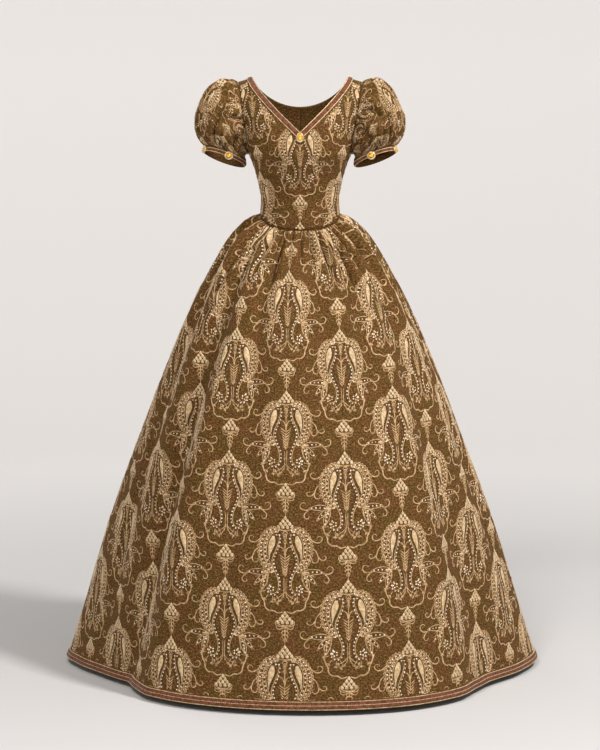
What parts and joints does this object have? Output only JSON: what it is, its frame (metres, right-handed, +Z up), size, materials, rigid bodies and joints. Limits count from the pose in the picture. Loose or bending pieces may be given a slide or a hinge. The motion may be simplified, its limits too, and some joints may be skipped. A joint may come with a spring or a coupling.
{
  "type": "ball gown",
  "caption": "Floor-length ball gown with a fitted V-neck bodice, puffed short sleeves and a full gathered skirt, standing open as it is worn",
  "frame": {"origin": "the middle of the shoulder line, where the wearer's shoulders carry the gown", "axes": "+Z up, -Y the way the front faces, +X towards the wearer's left"},
  "size_m": [1.2286, 1.2104, 1.5014],
  "materials": {
    "brocade": "woven ground of brown, olive and gold threads with a soft nap",
    "embroidery": "cream and tan corded embroidery with a slight silk sheen",
    "glass_bead": "small round pearly beads",
    "braid": "plaited reddish-brown cord with tan piping",
    "gilt": "gilded metal, polished and slightly worn",
    "amber_glass": "faceted yellow glass, foiled behind"
  },
  "bodies": {
    "root": {"bodice_front": "brocade", "bodice_back_left": "brocade", "bodice_back_right": "brocade", "skirt_front": "brocade", "skirt_back_left": "brocade", "skirt_back_right": "brocade", "sleeve_left": "brocade", "sleeve_right": "brocade", "cuff_braid_left": "braid", "cuff_braid_right": "braid", "neck_braid": "braid", "hem_braid": "braid", "neck_jewel_setting": "gilt", "neck_jewel_gem": "amber_glass", "cuff_jewel_left_front_setting": "gilt", "cuff_jewel_left_front_gem": "amber_glass", "cuff_jewel_left_outer_setting": "gilt", "cuff_jewel_left_outer_gem": "amber_glass", "cuff_jewel_right_front_setting": "gilt", "cuff_jewel_right_front_gem": "amber_glass", "cuff_jewel_right_outer_setting": "gilt", "cuff_jewel_right_outer_gem": "amber_glass"}
  },
  "joints": []
}
